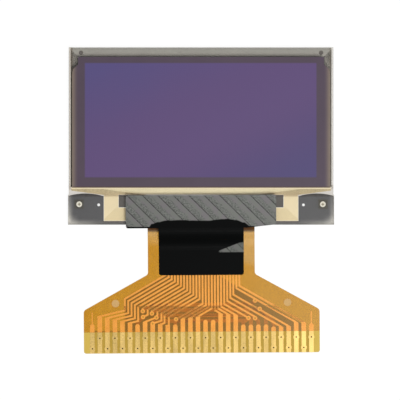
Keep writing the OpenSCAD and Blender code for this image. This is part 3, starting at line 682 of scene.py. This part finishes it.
class DISPLAY_OT_tape(Operator):
    """Black tape, with a painted grey and striped reflection where it sticks flat to the glass"""

    bl_idname = "display.tape"
    bl_label = "Tape"

    # Upper edge of the black part, where the painted reflection ends: place across the tape, distance below
    # the glass edge
    BLACK_EDGE = (
        (-7.2, 1.0), (-6.8, 0.32), (-6.4, -0.15), (-5.57, -0.38), (-4.52, -0.58),
        (-2.75, -0.63), (-0.68, -0.55), (0.88, -0.52), (2.43, -0.7), (3.37, -0.73),
        (4.51, -0.59), (5.54, -0.27), (6.37, 0.2), (6.85, 0.46), (7.2, 1.0),
    )

    def execute(self, context):
        look = context.scene.display_tape
        recipe = Recipe("Black tape")
        across, down = recipe.turned()
        # Painted reflection: a grey patch on the bend, where the black is left out
        bend_reflection = self.bend_reflection(recipe, across, down)
        black = recipe.times(self.black(recipe, across, down), recipe.minus(1.0, bend_reflection))
        # Painted reflection: the grey stripes on the flat part of the tape
        grey = self.stripes(recipe, look, across, down)
        grey = recipe.shade(grey, recipe.rise(bend_reflection, 0.0, 1.0, 1.0, 0.78))
        # Painted highlight: the reflection grows lighter towards the right, the lamp's side
        grey = recipe.shade(grey, recipe.rise(recipe.x, -9.0, 9.0, 0.98, 1.06))
        colour = recipe.mix(black, grey, look.black)
        dull = recipe.noise(0.15, 3.0, 0.6)
        roughness = recipe.math("MULTIPLY_ADD", black, -0.05, recipe.vary(dull, 0.4, 0.55))
        shader = recipe.surface(colour, roughness, normal=recipe.bump(dull, 0.004), specular=0.03)
        dress(recipe.done(shader), "ledge_tape")
        return {"FINISHED"}

    def black(self, recipe, across, down):
        """1 where the tape is black, outside the painted grey reflection, with a ragged upper edge."""
        reach = 2.0
        stops = [(at, (low + reach / 2) / reach) for at, low in self.BLACK_EDGE]
        edge = recipe.math("MULTIPLY_ADD", recipe.curve(across, stops), reach, -reach / 2)
        ragged = recipe.math("MULTIPLY_ADD", recipe.noise(0.4, 3.0), 0.12, -0.06)
        below = recipe.plus(recipe.minus(down, edge), ragged)
        return recipe.either(recipe.rise(below, -0.07, 0.07), recipe.rise(down, 0.19, 0.25))

    @staticmethod
    def stripes(recipe, look, across, down):
        """Smooth and mottled grey stripes with dark lines between them: the tape's striped texture as it
        shows in the painted reflection.
        """
        pitch = look.stripe_pitch * MM
        place = recipe.math("MULTIPLY_ADD", down, -look.stripe_lean, across)
        place = recipe.math("WRAP", recipe.minus(place, 0.25), pitch, 0.0)
        phase = recipe.math("DIVIDE", place, pitch)
        mottled = recipe.times(recipe.rise(phase, 0.02, 0.08), recipe.rise(phase, 0.56, 0.4))
        spots = recipe.noise(0.16, 4.0, 0.7)
        line = recipe.either(recipe.rise(phase, 0.075, 0.02), recipe.rise(phase, 0.94, 0.985))
        line = recipe.times(line, recipe.rise(spots, 0.62, 0.4, 0.5, 1.0))
        second = recipe.times(recipe.rise(phase, 0.47, 0.5), recipe.rise(phase, 0.56, 0.53))
        line = recipe.either(line, recipe.times(second, recipe.rise(spots, 0.55, 0.4, 0.0, 0.5)))
        tinge = recipe.rise(recipe.noise(1.1, 2.0), 0.35, 0.65)
        smooth = recipe.mix(tinge, look.grey, look.grey_warm)
        mottle = recipe.math("MULTIPLY_ADD", spots, 3.2, -1.6)
        grey = recipe.mix(mottled, smooth, look.grey_dark)
        grey = recipe.shade(grey, recipe.math("MULTIPLY_ADD", mottled, mottle, 1.0))
        return recipe.shade(grey, recipe.rise(line, 0.0, 1.0, 1.0, 0.22))

    @staticmethod
    def bend_reflection(recipe, across, down):
        """A painted reflection at the right of the bend: a dimmer grey patch where the curved tape catches
        the light.
        """
        slope = recipe.math("MULTIPLY_ADD", across, -0.39, 4.32)
        upper = recipe.math("SMOOTH_MAX", slope, 2.33, 0.3)
        return recipe.times(
            recipe.rise(recipe.minus(down, upper), -0.06, 0.06),
            recipe.rise(down, 3.66, 3.54),
            recipe.rise(across, 2.2, 2.5),
        )


# ---------------------------------------------------------------- tail


class DISPLAY_OT_films(Operator):
    """Amber base film and cover films"""

    bl_idname = "display.films"
    bl_label = "Tail films"

    def execute(self, context):
        look = context.scene.display_tail
        for title, tint, gloss, outward, seed, name in (
            ("Amber front cover film", look.cover_tint, 0.26, 1.0, 1.0, "front_cover_film"),
            ("Amber rear cover film", look.cover_tint, 0.26, -1.0, 3.0, "rear_cover_film"),
            ("Amber base film", look.base_tint, 0.2, 0.0, 5.0, "tail_base_film"),
        ):
            recipe = Recipe(title)
            cloud = recipe.noise(3.0, 3.0, 0.5, seed=seed)
            wave = recipe.noise(0.6, 3.0, 0.6, (1.0, 0.5, 1.0), seed)
            body = recipe.shade(look.amber, recipe.vary(cloud, 0.92, 1.08))
            body = recipe.surface(body, 0.4, specular=0.1)
            share = recipe.vary(cloud, look.film_body * 0.8, look.film_body * 1.2)
            clear = recipe.clear(recipe.shade(tint, recipe.vary(wave, 0.98, 1.0)))
            film = self.marked(recipe, look, outward, recipe.blend(share, clear, body))
            gloss = recipe.vary(wave, gloss, gloss * 1.4)
            strength = self.gloss_strength(recipe, outward)
            face = recipe.polish(film, gloss, recipe.bump(wave, 0.002), strength)
            edge = recipe.surface(tuple(level * 0.8 for level in look.amber), 0.5)
            dress(recipe.done(recipe.edged(edge, face, 0.1, 0.2)), name)
        return {"FINISHED"}

    def marked(self, recipe, look, outward, film):
        """Adds the locator marks to the base film, and the painted highlight on the bend and the painted
        shadow to the front.
        """
        if outward == 0:
            mark = recipe.surface(look.locator, 0.5, specular=0.1)
            return recipe.blend(recipe.times(self.locators(recipe), 0.5), film, mark)
        if outward > 0:
            # Painted highlight on the bend, and painted shadow below the ledge's edge
            pale = recipe.surface(look.bend_highlight, 0.5, specular=0.1)
            dark = recipe.surface(look.shadow, 0.6, specular=0.1)
            film = recipe.blend(self.bend_highlight(recipe), film, pale)
            film = recipe.blend(self.shadow(recipe), film, dark)
        return film

    def gloss_strength(self, recipe, outward):
        """Gloss of a film: faint between the films, and on the outer side less in the shadow."""
        if not outward:
            return 0.1
        outside = recipe.rise(recipe.times(recipe.facing, outward), 0.2, 0.6, 0.0, 0.4)
        return recipe.times(outside, recipe.minus(1.0, self.shadow(recipe)))

    # The two locator marks: place across, and distance below the glass edge
    LOCATORS = ((-11.18, 10.29), (11.27, 10.1))
    LOCATOR_RADIUS = 0.55

    def locators(self, recipe):
        """1 on the two round marks of the shoulders."""
        marks = []
        for across, depth in self.LOCATORS:
            aside = recipe.minus(recipe.x, across)
            along = recipe.minus(recipe.y, GLASS_FOOT - depth)
            apart = recipe.plus(recipe.times(aside, aside), recipe.times(along, along))
            apart = recipe.math("SQRT", apart)
            marks.append(recipe.rise(apart, self.LOCATOR_RADIUS + 0.05, self.LOCATOR_RADIUS - 0.05))
        return recipe.either(*marks)

    @staticmethod
    def shadow(recipe):
        """The dark line where the tail dips away from the ledge's edge."""
        depth = recipe.minus(GLASS_FOOT, recipe.y)
        return recipe.rise(depth, 1.15, 0.5, 0.0, 0.95)

    @staticmethod
    def bend_highlight(recipe):
        """Painted highlight on the upper part of the neck, where it bends down; and, weaker, a paler tone
        rising towards the right shoulder.
        """
        depth = recipe.minus(GLASS_FOOT, recipe.y)
        drift = recipe.math("MULTIPLY_ADD", recipe.x, 0.25, 3.4)
        neck = recipe.rise(recipe.minus(depth, drift), 0.9, -0.5, 0.0, 0.2)
        return recipe.either(neck, recipe.rise(recipe.x, 2.0, 9.0, 0.0, 0.05))


class DISPLAY_OT_copper(Operator):
    """Front and rear copper"""

    bl_idname = "display.copper"
    bl_label = "Copper"

    def execute(self, context):
        look = context.scene.display_tail
        for title, colour, seed, name in (
            ("Front copper", look.copper, 2.0, "front_traces"),
            ("Rear copper", look.rear_copper, 7.0, "rear_traces"),
        ):
            recipe = Recipe(title)
            grain = recipe.noise(0.3, 4.0, 0.6, (4.0, 0.4, 1.0), seed)
            cloud = recipe.noise(2.2, 2.0, 0.5, seed=seed)
            level = recipe.times(recipe.vary(grain, 0.93, 1.05), recipe.vary(cloud, 0.96, 1.03))
            metal = recipe.shade(colour, level)
            recipe.cover(metal, grain, (0.42, 0.55), 0.002, name, metallic=0.6, specular=0.2)
        return {"FINISHED"}


class DISPLAY_OT_gold(Operator):
    """Plated contacts and plated holes"""

    bl_idname = "display.gold"
    bl_label = "Gold contacts"

    def execute(self, context):
        look = context.scene.display_tail
        recipe = Recipe("Soft gold plating")
        grain = recipe.noise(0.16, 4.0, 0.65, (1.4, 0.8, 1.0))
        cloud = recipe.noise(1.2, 2.0, 0.5, (1.0, 0.25, 1.0))
        # Painted highlight: the pads grow lighter towards the right, the lamp's side, and each pad's
        # brightness varies as a slightly tilted pad would catch the lamp
        glow = recipe.times(recipe.vary(cloud, 0.88, 1.15), recipe.rise(recipe.x, 7.0, 13.0, 1.0, 1.3))
        metal = recipe.shade(look.gold, recipe.times(recipe.vary(grain, 0.72, 1.22), glow))
        plated = ("front_contact_gold", "rear_contact_gold", "hole_plating")
        recipe.cover(metal, grain, (0.42, 0.56), 0.002, *plated, metallic=0.7, specular=0.2)
        return {"FINISHED"}


# ---------------------------------------------------------------- studio


class DISPLAY_OT_studio(Operator):
    """Pale table, soft light and the camera that looks straight down"""

    bl_idname = "display.studio"
    bl_label = "Studio"

    # The round table in metres, and how far its top lies below the part, so that they don't touch
    TABLE_RADIUS = 1.5
    TABLE_SIDES = 48
    TABLE_GAP = 0.00003
    # The lamp in metres: its place, the point that it shines at and its width
    LAMP_PLACE = (0.1, -0.13, 0.36)
    LAMP_AIM = (0.0, -0.01, 0.0)
    LAMP_WIDTH = 0.2

    def execute(self, context):
        look = context.scene.display_studio
        self.table(context, look)
        self.sky(context.scene, look)
        self.lamp(context, look)
        self.camera(context, look)
        context.scene.view_settings.view_transform = "Standard"
        return {"FINISHED"}

    @staticmethod
    def plane(context, name, outline, height, material):
        mesh = bpy.data.meshes.new(name)
        mesh.from_pydata([(x, y, height) for x, y in outline], [], [tuple(range(len(outline)))])
        mesh.materials.append(material)
        sheet = bpy.data.objects.new(name, mesh)
        context.scene.collection.objects.link(sheet)
        return sheet

    def table(self, context, look):
        """A white table with painted shade where the ledge and the tail keep light from it: there its glow
        fades and its paper is darker.
        """
        white = Recipe("White table")
        cloud = white.noise(40.0, 2.0)
        light = white.either(self.under_copper(white), self.under_contacts(white))
        deep = white.either(self.under_ledge(white), self.under_holes(white))
        # Painted shade: the paper is darker under the copper and the contacts, and nearly black under the
        # ledge and in the holes
        open_grey, shaded_grey, deep_grey = ((level,) * 3 for level in (0.85, 0.7, 0.05))
        paper = white.mix(deep, white.mix(light, open_grey, shaded_grey), deep_grey)
        matt = white.surface(white.shade(paper, white.vary(cloud, 0.98, 1.0)), 0.8, specular=0.1)
        clear = white.minus(white.math("MULTIPLY_ADD", light, -0.57, 0.86), deep)
        glow = white.add("ShaderNodeEmission", Color=(1.0, 1.0, 1.0), Strength=1.06).outputs[0]
        path = white.add("ShaderNodeLightPath").outputs
        seen = white.math("MAXIMUM", path["Is Camera Ray"], path["Is Glossy Ray"])
        share = white.times(seen, white.math("MAXIMUM", clear, 0.0))
        turns = [math.tau * side / self.TABLE_SIDES for side in range(self.TABLE_SIDES)]
        radius = self.TABLE_RADIUS
        outline = [(radius * math.cos(turn), radius * math.sin(turn)) for turn in turns]
        finish = white.done(white.blend(share, matt, glow))
        self.plane(context, "table_top", outline, -self.TABLE_GAP, finish)

    # Where the fan of copper starts to widen, below the glass, how wide it is there, where it stops
    FAN_LEFT_START = 6.6
    FAN_RIGHT_START = 8.1
    FAN_HALF = 4.9
    FAN_LEFT = 10.0
    FAN_RIGHT = 13.6
    FAN_SLOPE = math.tan(math.radians(60))

    def under_copper(self, white):
        """The part of the table that the dense copper keeps in the shade."""
        end = span("front_cover_film")[2]
        depth = white.minus(GLASS_FOOT, white.y)
        left = white.plus(self.fan_width(white, depth, self.FAN_LEFT_START, self.FAN_LEFT), white.x)
        right = white.minus(self.fan_width(white, depth, self.FAN_RIGHT_START, self.FAN_RIGHT), white.x)
        sides = white.times(white.rise(left, -0.2, 0.3), white.rise(right, -0.2, 0.3))
        return white.times(sides, white.rise(white.y, end - 0.1, end + 0.3))

    def fan_width(self, white, depth, start, widest):
        """How far the fan reaches to one side, at a depth below the glass."""
        at_glass = self.FAN_HALF - start * self.FAN_SLOPE
        return white.math("MINIMUM", white.math("MULTIPLY_ADD", depth, self.FAN_SLOPE, at_glass), widest)

    def under_contacts(self, white):
        """The strip of table below the row of contacts, in their half shade."""
        left, right, low, _ = span("front_contact_gold")
        high = span("front_cover_film")[2]
        return white.times(white.window(left + 0.1, right - 0.1, low + 0.1, high + 0.2, 0.1), 0.7)

    def under_ledge(self, white):
        """The strip of table below the neck that the ledge keeps in the shade."""
        return white.window(-6.8, 6.7, GLASS_FOOT - 0.8, GLASS_FOOT + 2.0, 0.15)

    # Pitch of the contacts, and the two rows of holes: height above the tail's end, shift aside
    CONTACT_PITCH = 0.983
    HOLE_ROWS = ((1.99, CONTACT_PITCH / 2), (0.63, -CONTACT_PITCH / 2))

    def under_holes(self, white):
        """The table inside the plated holes, where little light gets."""
        left, _, low, _ = span("tail_base_film")
        end = GLASS_FOOT - low + left * math.sin(math.radians(TAIL_TURN))
        place, down = white.turned()
        rows = []
        pitch = self.CONTACT_PITCH
        for rise, shift in self.HOLE_ROWS:
            across = white.absolute(white.math("WRAP", white.minus(place, shift), pitch, -pitch))
            along = white.absolute(white.minus(down, end - rise))
            rows.append(white.rise(white.math("MAXIMUM", across, along), 0.22, 0.17))
        side = white.rise(white.absolute(white.x), 14.8, 14.6)
        return white.times(white.either(*rows), side)

    @staticmethod
    def sky(scene, look):
        world = bpy.data.worlds.new("Pale studio")
        world.use_nodes = True
        tree = world.node_tree
        tree.nodes.clear()
        output = tree.nodes.new("ShaderNodeOutputWorld")
        path = tree.nodes.new("ShaderNodeLightPath")
        backdrop = tree.nodes.new("ShaderNodeBackground")
        backdrop.inputs["Color"].default_value = (1.0, 1.0, 1.0, 1.0)
        backdrop.inputs["Strength"].default_value = 1.0
        light = tree.nodes.new("ShaderNodeBackground")
        light.inputs["Color"].default_value = (1.0, 1.0, 1.0, 1.0)
        light.inputs["Strength"].default_value = look.sky_level
        choose = tree.nodes.new("ShaderNodeMixShader")
        tree.links.new(path.outputs["Is Camera Ray"], choose.inputs[0])
        tree.links.new(light.outputs[0], choose.inputs[1])
        tree.links.new(backdrop.outputs[0], choose.inputs[2])
        tree.links.new(choose.outputs[0], output.inputs["Surface"])
        scene.world = world

    @classmethod
    def lamp(cls, context, look):
        data = bpy.data.lights.new("Soft lamp", "AREA")
        data.shape = "DISK"
        data.size = cls.LAMP_WIDTH
        data.energy = look.lamp_power
        lamp = bpy.data.objects.new("Soft lamp", data)
        lamp.location = cls.LAMP_PLACE
        aim = mathutils.Vector(cls.LAMP_AIM) - lamp.location
        lamp.rotation_euler = aim.to_track_quat("-Z", "Y").to_euler()
        context.scene.collection.objects.link(lamp)

    @staticmethod
    def camera(context, look):
        data = bpy.data.cameras.new("View from above")
        data.lens = look.lens
        data.sensor_width = 36.0
        distance = look.view_width * look.lens / data.sensor_width
        data.clip_start, data.clip_end = distance * 0.01, distance * 20
        camera = bpy.data.objects.new("View from above", data)
        camera.location = (look.view_right, look.view_up, distance)
        context.scene.collection.objects.link(camera)
        context.scene.camera = camera


# ---------------------------------------------------------------- add-on


class DISPLAY_PT_finishes(Panel):
    """Finishes of the display panel's pieces"""

    bl_label = "Display Panel"
    bl_idname = "DISPLAY_PT_finishes"
    bl_space_type = "VIEW_3D"
    bl_region_type = "UI"
    bl_category = "Display Panel"

    def draw(self, context):
        for name in SETTINGS:
            box = self.layout.box()
            group = getattr(context.scene, name)
            for key in group.bl_rna.properties.keys():
                if key not in {"rna_type", "name"}:
                    box.prop(group, key)
        column = self.layout.column(align=True)
        for operator in OPERATORS:
            column.operator(operator.bl_idname)


SETTINGS = {
    "display_glass": GlassLook,
    "display_screen": ScreenLook,
    "display_ledge": LedgeLook,
    "display_tape": TapeLook,
    "display_tail": TailLook,
    "display_studio": StudioLook,
}
OPERATORS = (
    DISPLAY_OT_front_glass,
    DISPLAY_OT_cover_glass,
    DISPLAY_OT_glue,
    DISPLAY_OT_inner_films,
    DISPLAY_OT_polarizer,
    DISPLAY_OT_top_marks,
    DISPLAY_OT_metal_panels,
    DISPLAY_OT_lead_field,
    DISPLAY_OT_coating,
    DISPLAY_OT_chip,
    DISPLAY_OT_tape,
    DISPLAY_OT_films,
    DISPLAY_OT_copper,
    DISPLAY_OT_gold,
    DISPLAY_OT_studio,
)


def register():
    for group in (*SETTINGS.values(), *OPERATORS, DISPLAY_PT_finishes):
        bpy.utils.register_class(group)
    for name, group in SETTINGS.items():
        setattr(bpy.types.Scene, name, PointerProperty(type=group))


def unregister():
    for name in SETTINGS:
        delattr(bpy.types.Scene, name)
    for group in reversed((*SETTINGS.values(), *OPERATORS, DISPLAY_PT_finishes)):
        bpy.utils.unregister_class(group)


def main():
    register()
    for operator in OPERATORS:
        family, name = operator.bl_idname.split(".")
        getattr(getattr(bpy.ops, family), name)()


if __name__ == "__main__":
    main()
